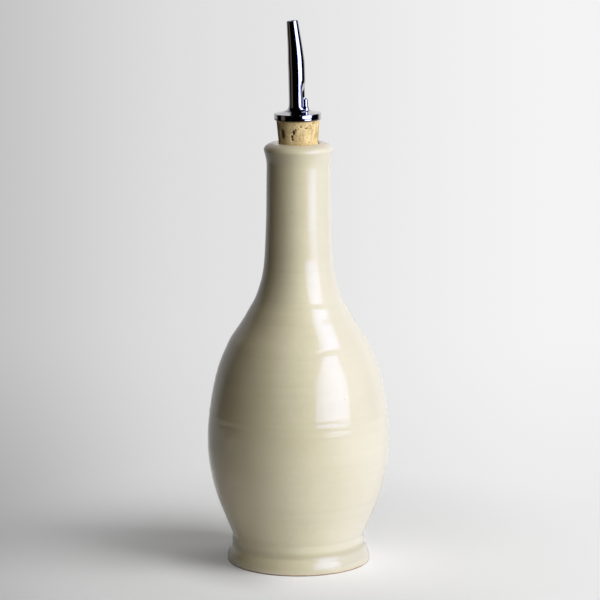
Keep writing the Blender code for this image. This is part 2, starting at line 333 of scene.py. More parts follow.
def area_lamp(name, width, tall, radiance, shadow=True):
    """An area lamp of the given size that shines with the given radiance; the camera does not see it."""
    lamp = bpy.data.lights.new(name, "AREA")
    lamp.shape = "RECTANGLE"
    lamp.size = width
    lamp.size_y = tall
    lamp.energy = radiance * width * tall * LAMP_SHARE
    lamp.use_shadow = shadow
    item = bpy.data.objects.new(name, lamp)
    item.visible_camera = False
    bpy.context.scene.collection.objects.link(item)
    return item


def soft_lamp(name, turn, rise, distance, side, radiance, shadow):
    """A square lamp turned to the bottle; it lights surfaces and shows in no reflection."""
    item = area_lamp(name, side, side, radiance, shadow)
    flat = distance * math.cos(rise)
    height = LAMP_AIM + distance * math.sin(rise)
    item.location = (flat * math.sin(turn), -flat * math.cos(turn), height)
    item.rotation_euler = (math.pi / 2.0 - rise, 0.0, turn)
    item.visible_glossy = False
    return item


def window_pane(name, shift, lean, bottom, top, width, low_corner, high_corner, radiance):
    """One pane, upright and facing the bottle, brightest along its middle.

    Its sides lean: the lamp is wider by the lean, and the part of a row that
    shines moves across by that much from bottom to top. Its corners are round: a
    point shines if it is no further than the corner radius from the rectangle
    inset by that radius, which changes at mid-height from the lower to the upper.
    """
    item = area_lamp(name, width + lean, top - bottom, radiance)
    lamp = item.data
    lamp.use_nodes = True
    lamp.node_tree.nodes.clear()
    start = Finish(lamp.node_tree)
    spot = start.node("ShaderNodeNewGeometry", output="Parametric")
    u, v = spot.part("X"), spot.part("Y")
    u = (u - 0.5) * ((width + lean) / width) - (v - 0.5) * (lean / width) + 0.5
    corner = v.rise(*PANE_CORNERS) * (high_corner - low_corner) + low_corner
    across = ((u - 0.5).size() * width + corner - width / 2.0).most(0.0)
    up = ((v - 0.5).size() * (top - bottom) + corner - (top - bottom) / 2.0).most(0.0)
    edge = 1.0 - ((across * across + up * up).power(0.5) - corner).rise(-PANE_SOFT, 0.0)
    middle = u.rise(0.0, PANE_FADE) * (1.0 - u).rise(0.0, PANE_FADE)
    edge = edge * (PANE_EDGE + middle * (1.0 - PANE_EDGE))
    lamp.color = PANE_COLOUR
    glow = start.node("ShaderNodeEmission", (), {"Strength": edge})
    start.node("ShaderNodeOutputLight", (), {"Surface": glow})
    ahead = (math.sin(WINDOW_TURN), -math.cos(WINDOW_TURN))
    x = WINDOW_DISTANCE * ahead[0] - shift * ahead[1]
    y = WINDOW_DISTANCE * ahead[1] + shift * ahead[0]
    item.location = (x, y, (bottom + top) / 2.0)
    item.rotation_euler = (math.pi / 2.0, 0.0, WINDOW_TURN)
    item.visible_diffuse = False
    return item


def room_world():
    """The room round the table: dark, with a brown screen to the left, and pale to the camera."""
    world = bpy.data.worlds.new("room")
    world.use_nodes = True
    world.node_tree.nodes.clear()
    start = Finish(world.node_tree)
    way = start.node("ShaderNodeTexCoord", output="Generated")
    x, y, z = way.part("X"), way.part("Y"), way.part("Z")
    screen = (0.0 - x).rise(*SCREEN_LEFT) * (0.0 - y).rise(*SCREEN_FRONT)
    screen = screen * (1.0 - z.rise(*SCREEN_TOP))
    room = screen.mix((ROOM_TONE, ROOM_TONE, ROOM_TONE, 1.0), SCREEN_BROWN)
    mirrored = start.node("ShaderNodeLightPath", output="Is Glossy Ray")
    back = mirrored * y.rise(*SWEEP_BACK) * z.rise(*ROOM_BACK_RISE)
    room = back.mix(room, (ROOM_BACK, ROOM_BACK, ROOM_BACK, 1.0))
    seen = start.node("ShaderNodeLightPath", output="Is Camera Ray")
    pale = sum(SWEEP_GLOW_TONES[:2])
    glow = start.node("ShaderNodeBackground", (), {"Color": seen.mix(room, (pale, pale, pale, 1.0))})
    start.node("ShaderNodeOutputWorld", (), {"Surface": glow})
    return world


soft_lamp("key_lamp", KEY_TURN, KEY_RISE, KEY_DISTANCE, KEY_SIDE, KEY_GLOW, True)
soft_lamp("fill_lamp", FILL_TURN, FILL_RISE, FILL_DISTANCE, FILL_SIDE, FILL_GLOW, False)
for pane in PANES:
    window_pane(*pane)
bpy.context.scene.world = room_world()


# Bottle. Stoneware thrown on a wheel in one piece, with a turned foot ring and a
# rolled lip, dipped in ivory glaze; the ring it stands on is wiped bare.
BOTTLE_SIDES = 256
STAND_OUTLINE = (
    (0.0012, 0.04258),
    (0.0030, 0.04244),
    (0.0046, 0.04212),
    (0.0062, 0.04162),
    (0.0076, 0.04100),
    (0.0086, 0.04030),
    (0.0094, 0.03985),
    (0.0101, 0.03966),
    (0.0110, 0.03964),
    (0.0121, 0.03970),
    (0.0132, 0.03967),
    (0.0143, 0.03952),
    (0.0156, 0.03945),
    (0.0168, 0.03955),
)
BELLY_OUTLINE = (
    (0.0168, 0.03955),
    (0.0260, 0.0433),
    (0.0380, 0.0481),
    (0.0520, 0.0519),
    (0.0700, 0.0541),
    (0.0900, 0.0530),
    (0.1080, 0.0500),
    (0.1220, 0.0459),
    (0.1305, 0.0422),
    (0.1340, 0.0405),
    (0.1365, 0.0389),
    (0.1450, 0.0332),
    (0.1520, 0.0292),
    (0.1583, 0.02578),
    (0.1604, 0.02492),
    (0.1710, 0.0217),
    (0.1900, 0.0197),
    (0.2100, 0.0190),
    (0.2200, 0.01889),
    (0.2300, 0.01879),
    (0.2360, 0.01873),
    (0.2385, 0.01875),
    (0.2410, 0.01902),
    (0.2430, 0.01948),
)
LIP_EQUATOR = (0.2467, 0.0204)
LIP_CREST = (0.2510, 0.0134)
LIP_ROLL = 0.0016
MOUTH_RADIUS = 0.0118
SEAT_DEPTH = 0.0170
SEAT_TAPER = 0.0009
SEAT_EDGE = 0.0002
SEAT_HUB = 0.0060
FOOT_EDGE = 0.0006
FOOT_EDGE_END = -10.0
RECESS_RADIUS = 0.0330
RECESS_DEPTH = 0.0015
RECESS_EDGE = 0.0002
RECESS_RINGS = (0.0120, 0.0240)
STANDING_RING = 0.0375
FOOT_EDGE_RINGS = 6
STAND_RINGS = 52
WALL_RINGS = 300
LIP_RINGS = 18
ROLL_RINGS = 8
BELLY_LIMIT = 0.05408
# Throwing marks: ridges (height, how far they stand out, half-width) and the spiral.
RIDGES = (
    (0.0700, 0.00004, 0.0012),
    (0.0745, -0.00005, 0.0010),
    (0.0800, 0.00005, 0.0012),
    (0.0915, 0.00007, 0.0009),
    (0.1331, -0.00003, 0.0010),
    (0.1590, -0.00008, 0.0013),
)
RIDGE_SWELL = 0.3
RIDGE_TURN = 60.0
SPIRAL_PITCH = 0.0085
SPIRAL_DEPTH = 0.000014
FINE_RINGS = 26
FINE_LENGTHS = (0.0022, 0.0075)
FINE_DEPTH = 0.0000045
FINE_SEED = 5
MARKS_START = 0.020
MARKS_START_FADE = 0.010
MARKS_END = 0.190
MARKS_END_FADE = 0.015
IVORY = (0.582, 0.541, 0.394, 1.0)
IVORY_DEEP = (0.547, 0.504, 0.354, 1.0)
# Painted shade: the darkest tone, for the groove above the foot ring.
IVORY_GROOVE_SHADE = (0.420, 0.375, 0.245, 1.0)
# Painted light: a warmer tone for the shaded left side and a paler one for the lit right side.
IVORY_SHADED_SIDE = (0.482, 0.414, 0.270, 1.0)
IVORY_LIT_SIDE = (0.540, 0.508, 0.432, 1.0)
IVORY_THIN = (0.560, 0.485, 0.360, 1.0)
# Bare clay of the standing ring, darkened with painted shade where it meets the floor.
BARE_CLAY_SHADED = (0.200, 0.135, 0.095, 1.0)
IRON_SPECK = (0.330, 0.240, 0.140, 1.0)
CLOUD_NOISE = {"Scale": 32.0, "Detail": 4.0}
MOTTLE_NOISE = {"Scale": 240.0, "Detail": 3.0}
GRAIN_NOISE = {"Scale": 700.0, "Detail": 2.0}
CLOUD_SHARE = 0.7
CLOUD_STEP = (0.35, 0.68)
# Where the painted shade of the left side and the painted light of the right side come in.
SHADED_SIDE_SPAN = (-0.86, 0.00)
LIT_SIDE_SPAN = (0.00, 0.95)
THIN_AT_FOOT = (0.0012, 0.0026)
THIN_AT_LIP = (0.2485, 0.2508)
THIN_SHARE = 0.8
# Painted shade in the groove above the foot ring.
GROOVE_SHADE_BOTTOM = (0.0082, 0.0102)
GROOVE_SHADE_TOP = (0.0106, 0.0140)
GROOVE_SHADE_SHARE = 0.5
RING_STRETCH = (9.0, 9.0, 330.0)
RING_NOISE = {"Scale": 1.0, "Detail": 3.0, "Roughness": 0.6}
RING_TONE = (0.97, 0.06)
# Painted shade: the glaze darker towards the foot.
FOOT_SHADE_TONE = 0.80
FOOT_SHADE_TOP = (0.0105, 0.0225)
SPECK_CELLS = 260.0
SPECK_SIZE = (0.05, 0.13)
SPECK_CHANCE = (0.955, 0.975)
SPECK_SHARE = 0.55
WIPE_LINE = (0.00085, 0.00105)
WIPE_WANDER = 0.0005
# Relief of the glaze: its mottle, its grain, its rings, and the bare clay's grain.
GLAZE_RELIEF = (0.4, 0.12, 0.3, 1.5)
GLAZE_BUMP = {"Strength": 0.06, "Distance": 0.0004}
HAZE = 0.09
HAZE_ROUGHNESS = 0.42
GLOSS = {"Coat Roughness": 0.05, "Coat IOR": 1.50}


def cubic_through(heights, radii, at):
    """Radius at each height on the natural cubic curve through the stations.

    Bending is worked out at the stations so that slope and bending join up, and
    is nil at both ends.
    """
    steps = np.diff(heights)
    slopes = np.diff(radii) / steps
    count = len(heights)
    matrix = np.eye(count)
    inner = np.arange(1, count - 1)
    matrix[inner, inner - 1] = steps[:-1]
    matrix[inner, inner] = 2.0 * (steps[:-1] + steps[1:])
    matrix[inner, inner + 1] = steps[1:]
    target = np.zeros(count)
    target[1:-1] = 6.0 * np.diff(slopes)
    bend = np.linalg.solve(matrix, target)
    span = np.clip(np.searchsorted(heights, at) - 1, 0, count - 2)
    run = at - heights[span]
    step = steps[span]
    rate = slopes[span] - step * (2.0 * bend[span] + bend[span + 1]) / 6.0
    twist = (bend[span + 1] - bend[span]) / (6.0 * step)
    return radii[span] + run * (rate + run * (bend[span] / 2.0 + run * twist))


def bottle_outline():
    """Radii and heights from the recess under the foot, up the wall, over the lip, into the mouth."""
    recess_wall = [RECESS_RADIUS - RECESS_DEPTH, RECESS_RADIUS - RECESS_EDGE, RECESS_RADIUS + RECESS_EDGE]
    under_radii = [*RECESS_RINGS, *recess_wall, STANDING_RING]
    under_heights = [RECESS_DEPTH, RECESS_DEPTH, RECESS_DEPTH, RECESS_EDGE / 2.0, 0.0, 0.0]
    stand = np.array(STAND_OUTLINE)
    edge_middle = (stand[0, 1] - FOOT_EDGE, FOOT_EDGE)
    edge = arc_points(edge_middle, FOOT_EDGE, FOOT_EDGE, -90.0, FOOT_EDGE_END, FOOT_EDGE_RINGS)
    stand_heights = np.linspace(stand[0, 0], stand[-1, 0], STAND_RINGS)
    stand_radii = cubic_through(stand[:, 0], stand[:, 1], stand_heights)
    wall = np.array([*BELLY_OUTLINE, LIP_EQUATOR])
    wall_heights = np.linspace(wall[0, 0], wall[-1, 0], WALL_RINGS)
    wall_radii = cubic_through(wall[:, 0], wall[:, 1], wall_heights)
    swell = (LIP_EQUATOR[1] - LIP_CREST[1], LIP_CREST[0] - LIP_EQUATOR[0])
    outer = arc_points((LIP_CREST[1], LIP_EQUATOR[0]), *swell, 0.0, 90.0, LIP_RINGS)
    roll_middle = (LIP_CREST[1], LIP_CREST[0] - LIP_ROLL)
    inner = arc_points(roll_middle, LIP_ROLL, LIP_ROLL, 90.0, 180.0, ROLL_RINGS)
    seat_floor = LIP_CREST[0] - SEAT_DEPTH
    seat_radius = MOUTH_RADIUS - SEAT_TAPER
    seat_radii = [seat_radius + SEAT_EDGE, seat_radius, SEAT_HUB]
    seat = (seat_radii, [seat_floor + SEAT_EDGE, seat_floor, seat_floor])
    radii = [under_radii, edge[0], stand_radii, wall_radii[1:], outer[0][1:], inner[0][1:], seat[0]]
    heights = [under_heights, edge[1], stand_heights, wall_heights[1:], outer[1][1:], inner[1][1:], seat[1]]
    return np.concatenate(radii), np.concatenate(heights)


def throwing_marks(heights, angles):
    """How far the potter's fingers leave the wall standing out, by height and angle.

    A shallow wave climbs one pitch in each turn, as a spiral, and fine rings,
    which are waves of mixed lengths, lie over it. Each ridge is a bell curve in
    height that swells and thins a little round the bottle. All of them fade out
    above the foot and on the neck.
    """
    up, around = np.meshgrid(heights, angles, indexing="ij")
    fade = np.clip((up - MARKS_START) / MARKS_START_FADE, 0.0, 1.0)
    fade = fade * np.clip((MARKS_END - up) / MARKS_END_FADE, 0.0, 1.0)
    marks = SPIRAL_DEPTH * np.sin(2.0 * math.pi * up / SPIRAL_PITCH - around)
    draw = np.random.default_rng(FINE_SEED)
    lengths = draw.uniform(*FINE_LENGTHS, FINE_RINGS)[:, None]
    starts = draw.uniform(0.0, 2.0 * math.pi, FINE_RINGS)[:, None]
    waves = np.sin(2.0 * math.pi * heights[None, :] / lengths + starts) * lengths / lengths.mean()
    marks = marks + FINE_DEPTH * waves.sum(axis=0)[:, None]
    for place, stand, width in RIDGES:
        swell = 1.0 + RIDGE_SWELL * np.sin(around + RIDGE_TURN * place / width)
        marks = marks + stand * swell * np.exp(-((up - place) / width) ** 2)
    return marks * fade


def make_bottle():
    """The turned surface: the outline's radius with the throwing marks added, up to the belly's limit."""
    radii, heights = bottle_outline()
    angles = np.linspace(0.0, 2.0 * math.pi, BOTTLE_SIDES, endpoint=False)
    reach = np.minimum(radii[:, None] + throwing_marks(heights, angles), BELLY_LIMIT)
    points = turned_points(radii, heights, BOTTLE_SIDES)
    points[..., 0] = reach * np.cos(angles)
    points[..., 1] = reach * np.sin(angles)
    return surface_mesh("glazed_bottle", points, (0.0, 0.0, RECESS_DEPTH), (0.0, 0.0, heights[-1]))


def glaze_tint(start, place, mottle, rings):
    """The glaze's colour: cloudy, with painted light that makes it warmer on the shaded left and paler on
    the lit right, and painted shade that darkens it towards the foot.

    Iron shows where it runs thin over the lip and the standing edge, and painted
    shade makes it darkest in the groove above the foot ring.
    """
    z = place.part("Z")
    cloud = start.node("ShaderNodeTexNoise", (), {"Vector": place, **CLOUD_NOISE})
    blend = (cloud * CLOUD_SHARE + mottle * (1.0 - CLOUD_SHARE)).rise(*CLOUD_STEP)
    tint = blend.mix(IVORY_DEEP, IVORY)
    flat = place * (1.0, 1.0, 0.0)
    side = start.node("ShaderNodeVectorMath", {"operation": "NORMALIZE"}, {0: flat}).part("X")
    # Painted light: warmer on the shaded left side, paler on the lit right side.
    tint = (1.0 - side.rise(*SHADED_SIDE_SPAN)).mix(tint, IVORY_SHADED_SIDE)
    tint = side.rise(*LIT_SIDE_SPAN).mix(tint, IVORY_LIT_SIDE)
    thin = z.rise(*THIN_AT_LIP).most(1.0 - z.rise(*THIN_AT_FOOT))
    tint = (thin * THIN_SHARE).mix(tint, IVORY_THIN)
    # Painted shade in the groove above the foot ring.
    groove_shade = z.rise(*GROOVE_SHADE_BOTTOM) * (1.0 - z.rise(*GROOVE_SHADE_TOP))
    tint = (groove_shade * GROOVE_SHADE_SHARE).mix(tint, IVORY_GROOVE_SHADE)
    tint = tint * (RING_TONE[0] + rings * RING_TONE[1])
    # Painted shade: darker towards the foot, up to the foot's top.
    return tint * (FOOT_SHADE_TONE + z.rise(*FOOT_SHADE_TOP) * (1.0 - FOOT_SHADE_TONE))


def glaze_material():
    """Glossy ivory glaze in fine rings, with a few iron specks; below the wiped line the clay is bare, its
    colour darkened with painted shade.
    """
    material, start = empty_material("ivory glaze")
    place = start.node("ShaderNodeTexCoord", output="Object")
    mottle = start.node("ShaderNodeTexNoise", (), {"Vector": place, **MOTTLE_NOISE})
    grain = start.node("ShaderNodeTexNoise", (), {"Vector": place, **GRAIN_NOISE})
    stretched = start.node("ShaderNodeMapping", (), {"Vector": place, "Scale": RING_STRETCH})
    rings = start.node("ShaderNodeTexNoise", (), {"Vector": stretched, **RING_NOISE})
    body = glaze_tint(start, place, mottle, rings)
    cells = {"Vector": place, "Scale": SPECK_CELLS}
    reach = start.node("ShaderNodeTexVoronoi", (), cells, "Distance")
    chance = start.node("ShaderNodeTexVoronoi", (), cells, "Color").part("X")
    speck = (1.0 - reach.rise(*SPECK_SIZE)) * chance.rise(*SPECK_CHANCE)
    body = (speck * SPECK_SHARE).mix(body, IRON_SPECK)
    bare = 1.0 - (place.part("Z") + grain * WIPE_WANDER).rise(*WIPE_LINE)
    # Bare clay below the wiped line: its own colour, darkened with painted shade.
    colour = bare.mix(body, BARE_CLAY_SHADED)
    relief = mottle * GLAZE_RELIEF[0] + grain * GLAZE_RELIEF[1] + rings * GLAZE_RELIEF[2]
    relief = relief + bare * grain * GLAZE_RELIEF[3]
    bump = start.node("ShaderNodeBump", (), {"Height": relief, **GLAZE_BUMP}, "Normal")
    sockets = {"Base Color": colour, "Roughness": HAZE_ROUGHNESS, "Specular IOR Level": HAZE}
    sockets.update({"Normal": bump, "Coat Normal": bump, "Coat Weight": 1.0 - bare, **GLOSS})
    shader = start.node("ShaderNodeBsdfPrincipled", (), sockets)
    start.node("ShaderNodeOutputMaterial", (), {"Surface": shader})
    return material


bottle = make_bottle()
bottle.data.materials.append(glaze_material())
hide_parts("bottle")
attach(bottle, "root")


# Stopper. Everything on the cork leans a little to the left with it, so its
# heights are above the mouth and along its own axis.
MOUTH_HEIGHT = 0.2500
STOPPER_LEAN = math.radians(1.3)


def leaning(points):
    """Points moved from the stopper's own axis to their place on the bottle."""
    x, y, z = points[..., 0], points[..., 1], points[..., 2]
    turn, tip = math.cos(STOPPER_LEAN), math.sin(STOPPER_LEAN)
    return np.stack([x * turn - z * tip, y, x * tip + z * turn + MOUTH_HEIGHT], axis=-1)


# Cork. A tapered stopper punched from cork bark, dry and matt, with dark pores
# and a few deep cracks in its side, pressed about halfway into the mouth.
CORK_TOP_RADIUS = 0.0126
CORK_MOUTH_RADIUS = 0.01145
CORK_TOP = 0.0142
CORK_BOTTOM = -0.0155
CORK_EDGE = 0.0004
CORK_HUB = 0.0060
CORK_EDGE_RINGS = 5
CORK_RINGS = 150
CORK_SIDES = 256
CORK_PORES = 200
PORE_SIZES = (0.00012, 0.00034)
PORE_STRETCH = (0.8, 2.2)
PORE_DEPTH = 0.9
PORE_SEED = 11
# Cracks: angle round the cork in degrees, height, half-width across, half-height, depth.
CORK_CRACKS = (
    (-140.0, 0.0070, 0.0011, 0.0023, 0.0011),
    (-103.0, 0.0082, 0.0007, 0.0013, 0.0009),
    (-108.0, 0.0058, 0.0006, 0.0008, 0.0008),
    (-97.0, 0.0095, 0.0003, 0.0008, 0.0006),
    (-107.0, 0.0040, 0.0006, 0.0006, 0.0008),
    (-82.0, 0.0115, 0.0004, 0.0006, 0.0006),
    (-45.0, 0.0132, 0.0004, 0.0005, 0.0006),
    (-66.0, 0.0105, 0.0006, 0.0004, 0.0005),
    (35.0, 0.0080, 0.0006, 0.0020, 0.0010),
    (120.0, 0.0100, 0.0008, 0.0015, 0.0009),
    (170.0, 0.0060, 0.0005, 0.0018, 0.0009),
)
CORK_LIGHT = (0.660, 0.530, 0.290, 1.0)
CORK_MID = (0.470, 0.345, 0.155, 1.0)
CORK_DARK = (0.270, 0.160, 0.062, 1.0)
# The dents' near-black: dark pore colour together with painted shade in the cracks and pores.
CORK_HOLE_SHADE = (0.060, 0.030, 0.012, 1.0)
HOLE_SHADE_DEPTH = 0.0006
CELL_SCALE = 900.0
PATCH_NOISE = {"Scale": 170.0, "Detail": 5.0, "Roughness": 0.62}
PATCH_STEP = (0.36, 0.66)
STREAK_STRETCH = (420.0, 420.0, 120.0)
STREAK_NOISE = {"Scale": 1.0, "Detail": 4.0}
STREAK_STEP = (0.52, 0.72)
STREAK_SHARE = 0.45
FLECK_NOISE = {"Scale": 950.0, "Detail": 3.0, "Roughness": 0.7}
FLECK_STEP = (0.36, 0.48)
FLECK_SHARE = 0.8
HOLE_SHADE_STEP = (0.12, 0.75)
# Relief of the cork: its patches, its cells, its flecks, and what the dents take away.
CORK_RELIEF = (0.5, 0.3, 0.5, 0.6)
CORK_BUMP = {"Strength": 0.45, "Distance": 0.0003}
CORK_ROUGHNESS = (0.82, 0.15)
CORK_SHEEN = 0.25


def cork_dents(heights, angles, radius):
    """Depth of the pores and cracks, by height and angle: each is a bell-shaped dent.

    The deepest dent at a point decides, so dents do not add up.
    """
    draw = np.random.default_rng(PORE_SEED)
    turns = draw.uniform(0.0, 2.0 * math.pi, CORK_PORES)
    places = draw.uniform(CORK_BOTTOM, CORK_TOP, CORK_PORES)
    sizes = draw.uniform(*PORE_SIZES, CORK_PORES)
    talls = sizes * draw.uniform(*PORE_STRETCH, CORK_PORES)
    pores = np.column_stack([turns, places, sizes, talls, sizes * PORE_DEPTH])
    cracks = np.array(CORK_CRACKS)
    cracks[:, 0] = np.radians(cracks[:, 0])
    every = np.vstack([pores, cracks])
    turn, place, wide, tall, deep = (column[:, None, None] for column in every.T)
    around = np.angle(np.exp(1j * (angles[None, None, :] - turn))) * radius
    up = heights[None, :, None] - place
    depth = deep * np.exp(-((around / wide) ** 2) - (up / tall) ** 2)
    return depth.max(axis=0)


def make_cork():
    """A turned taper with rounded rims, its side pushed in by the dents.

    The layer "dent" is each point's depth as a share of a hole's full depth; it sets how dark the hole is
    painted.
    """
    rise = np.linspace(CORK_BOTTOM + CORK_EDGE, CORK_TOP - CORK_EDGE, CORK_RINGS)
    taper = (CORK_TOP_RADIUS - CORK_MOUTH_RADIUS) / CORK_TOP
    side = CORK_MOUTH_RADIUS + taper * rise
    round_edge = (CORK_EDGE, CORK_EDGE)
    low = arc_points((side[0] - CORK_EDGE, rise[0]), *round_edge, -90.0, 0.0, CORK_EDGE_RINGS)
    high = arc_points((side[-1] - CORK_EDGE, rise[-1]), *round_edge, 0.0, 90.0, CORK_EDGE_RINGS)
    radii = np.concatenate([[CORK_HUB], low[0], side[1:-1], high[0], [CORK_HUB]])
    heights = np.concatenate([[CORK_BOTTOM], low[1], rise[1:-1], high[1], [CORK_TOP]])
    angles = np.linspace(0.0, 2.0 * math.pi, CORK_SIDES, endpoint=False)
    dents = cork_dents(heights, angles, CORK_MOUTH_RADIUS)
    dents[:2] = 0.0
    dents[-2:] = 0.0
    points = turned_points(radii, heights, CORK_SIDES)
    points[..., 0] -= dents * np.cos(angles)
    points[..., 1] -= dents * np.sin(angles)
    ends = np.array([[0.0, 0.0, CORK_BOTTOM], [0.0, 0.0, CORK_TOP]])
    item = surface_mesh("cork_stopper", leaning(points), leaning(ends[:1]), leaning(ends[1:]))
    depth = np.concatenate([dents.ravel(), [0.0, 0.0]])
    layer = item.data.attributes.new("dent", "FLOAT", "POINT")
    layer.data.foreach_set("value", (depth / HOLE_SHADE_DEPTH).clip(0.0, 1.0).astype(np.float32))
    return item


def cork_material():
    """Dry cork: straw with browner cells and fine dark flecks; the dents are near-black, the pores' own
    dark colour together with painted shade.
    """
    material, start = empty_material("natural cork")
    place = start.node("ShaderNodeTexCoord", output="Object")
    cells = start.node("ShaderNodeTexVoronoi", (), {"Vector": place, "Scale": CELL_SCALE}, "Distance")
    patch = start.node("ShaderNodeTexNoise", (), {"Vector": place, **PATCH_NOISE})
    stretched = start.node("ShaderNodeMapping", (), {"Vector": place, "Scale": STREAK_STRETCH})
    streak = start.node("ShaderNodeTexNoise", (), {"Vector": stretched, **STREAK_NOISE})
    fleck = start.node("ShaderNodeTexNoise", (), {"Vector": place, **FLECK_NOISE})
    dent = start.node("ShaderNodeAttribute", {"attribute_name": "dent"}, (), "Fac")
    colour = patch.rise(*PATCH_STEP).mix(CORK_MID, CORK_LIGHT)
    colour = (streak.rise(*STREAK_STEP) * STREAK_SHARE).mix(colour, CORK_DARK)
    colour = ((1.0 - fleck.rise(*FLECK_STEP)) * FLECK_SHARE).mix(colour, CORK_DARK)
    # Painted shade, with the pores' own dark colour: the deeper the dent, the darker.
    colour = dent.rise(*HOLE_SHADE_STEP).mix(colour, CORK_HOLE_SHADE)
    relief = patch * CORK_RELIEF[0] + cells * CORK_RELIEF[1] + fleck * CORK_RELIEF[2]
    relief = relief - dent * CORK_RELIEF[3]
    bump = start.node("ShaderNodeBump", (), {"Height": relief, **CORK_BUMP}, "Normal")
    roughness = CORK_ROUGHNESS[0] + fleck * CORK_ROUGHNESS[1]
    sockets = {"Base Color": colour, "Roughness": roughness, "Normal": bump}
    sockets["Specular IOR Level"] = CORK_SHEEN
    shader = start.node("ShaderNodeBsdfPrincipled", (), sockets)
    start.node("ShaderNodeOutputMaterial", (), {"Surface": shader})
    return material


cork = make_cork()
cork.data.materials.append(cork_material())
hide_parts("cork")
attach(cork, "root")


# Cap. A chromed disc spun from sheet metal, with rounded edges, that rises to the
# foot of the spout; it sits flat on the cork.
CAP_RADIUS = 0.01385
CAP_BOTTOM = 0.0145
CAP_RIM_TOP = 0.0184
CAP_EDGE = 0.0006
CAP_RISE = 0.0011
CAP_RISE_RADIUS = 0.00755
CAP_RISE_CURVE = 1.3
CAP_SINK_FLOOR = 0.0183
CAP_SINK_HUB = 0.0040
CAP_UNDER_RINGS = (0.0060, 0.0128)
CAP_EDGE_RINGS = 10
CAP_CONE_RINGS = 24
CAP_SIDES = 192
CAP_CREASE = math.radians(50.0)
CHROME_TONE = (0.600, 0.592, 0.625, 1.0)
CHROME_WORN = (0.545, 0.538, 0.568, 1.0)
# Painted shade for the cap's lower edge, where it meets the cork.
CAP_EDGE_SHADE = (0.070, 0.055, 0.040, 1.0)
CAP_EDGE_SHADE_HEIGHTS = (0.2648, 0.2656)
SMEAR_NOISE = {"Scale": 160.0, "Detail": 4.0}
SMEAR_TONE = (0.35, 0.75)
SMEAR_DULL = (0.45, 0.80)
SKIN_NOISE = {"Scale": 220.0, "Detail": 1.0}
SKIN_BUMP = {"Strength": 0.015, "Distance": 0.0002}
CHROME_ROUGHNESS = (0.05, 0.09)


def make_cap():
    """Turned from a profile: flat underside, rounded rim, and a low cone that steepens inwards."""
    flat = CAP_RADIUS - CAP_EDGE
    round_edge = (CAP_EDGE, CAP_EDGE)
    bottom = arc_points((flat, CAP_BOTTOM + CAP_EDGE), *round_edge, -90.0, 0.0, CAP_EDGE_RINGS)
    top = arc_points((flat, CAP_RIM_TOP - CAP_EDGE), *round_edge, 0.0, 90.0, CAP_EDGE_RINGS)
    share = np.linspace(1.0, 0.0, CAP_CONE_RINGS)[1:]
    cone = CAP_RISE_RADIUS + (flat - CAP_RISE_RADIUS) * share
    cone_up = CAP_RIM_TOP + CAP_RISE * (1.0 - share) ** CAP_RISE_CURVE
    radii = np.concatenate([CAP_UNDER_RINGS, bottom[0], top[0], cone, [CAP_RISE_RADIUS, CAP_SINK_HUB]])
    heights = np.concatenate([[CAP_BOTTOM] * 2, bottom[1], top[1], cone_up, [CAP_SINK_FLOOR] * 2])
    points = turned_points(radii, heights, CAP_SIDES)
    ends = np.array([[0.0, 0.0, CAP_BOTTOM], [0.0, 0.0, CAP_SINK_FLOOR]])
    item = surface_mesh("chromed_cap", leaning(points), leaning(ends[:1]), leaning(ends[1:]))
    item.data.set_sharp_from_angle(angle=CAP_CREASE)
    return item


def chrome_material():
    """Polished chrome plate: near mirror, with faint hazy smears and a slightly wavy skin.

    It is painted dark at the lower edge, next to the cork, as shade between the cap and the cork.
    """
    material, start = empty_material("polished chrome")
    place = start.node("ShaderNodeTexCoord", output="Object")
    smear = start.node("ShaderNodeTexNoise", (), {"Vector": place, **SMEAR_NOISE})
    skin = start.node("ShaderNodeTexNoise", (), {"Vector": place, **SKIN_NOISE})
    colour = smear.rise(*SMEAR_TONE).mix(CHROME_TONE, CHROME_WORN)
    # Painted shade at the cap's lower edge, next to the cork.
    under = 1.0 - place.part("Z").rise(*CAP_EDGE_SHADE_HEIGHTS)
    colour = under.mix(colour, CAP_EDGE_SHADE)
    roughness = CHROME_ROUGHNESS[0] + smear.rise(*SMEAR_DULL) * CHROME_ROUGHNESS[1]
    bump = start.node("ShaderNodeBump", (), {"Height": skin, **SKIN_BUMP}, "Normal")
    sockets = {"Base Color": colour, "Metallic": 1.0, "Roughness": roughness, "Normal": bump}
    shader = start.node("ShaderNodeBsdfPrincipled", (), sockets)
    start.node("ShaderNodeOutputMaterial", (), {"Surface": shader})
    return material


chrome = chrome_material()
cap = make_cap()
cap.data.materials.append(chrome)
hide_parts("pourer_cap")
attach(cap, "root")


# Spout. A drawn metal tube, flared and soldered on the cap, pressed in beside the
# air tube, bent a little to the pour side and tapered to an open tip.
POUR_ANGLE = math.radians(152.0)
SPOUT_RADIUS = 0.0050
SPOUT_TIP_RADIUS = 0.0034
SPOUT_WALL = 0.0007
SPOUT_HEIGHT = 0.0538
TAPER_START = 0.0300
FOOT_FLARE = 0.0022
FLARE_DECAY = 0.0012
SPOUT_FOOT_BOTTOM = 0.0002
SPOUT_FOOT_TOP = 0.0011
BORE_FLOOR = 0.0046
BEND_START = 0.0220
BEND_END = 0.0420
BEND_SLOPE = 0.101
DENT_DEPTH = 0.0019
DENT_WIDTH_FRONT = 0.43
DENT_WIDTH_BACK = 0.60
DENT_SHELF = 0.0033
SHELF_SOFT = 0.0007
DENT_FULL = 0.0110
DENT_END = 0.0195
TIP_EDGE = 0.00025
SPOUT_SIDES = 128
SPOUT_RINGS = 170
TIP_RINGS = 9
BORE_RINGS = 60
SPOUT_CREASE = math.radians(60.0)


def soft_step(value, start, end):
    """0 up to `start`, 1 from `end` on, and a smooth curve between."""
    share = np.clip((value - start) / (end - start), 0.0, 1.0)
    return share * share * (3.0 - 2.0 * share)


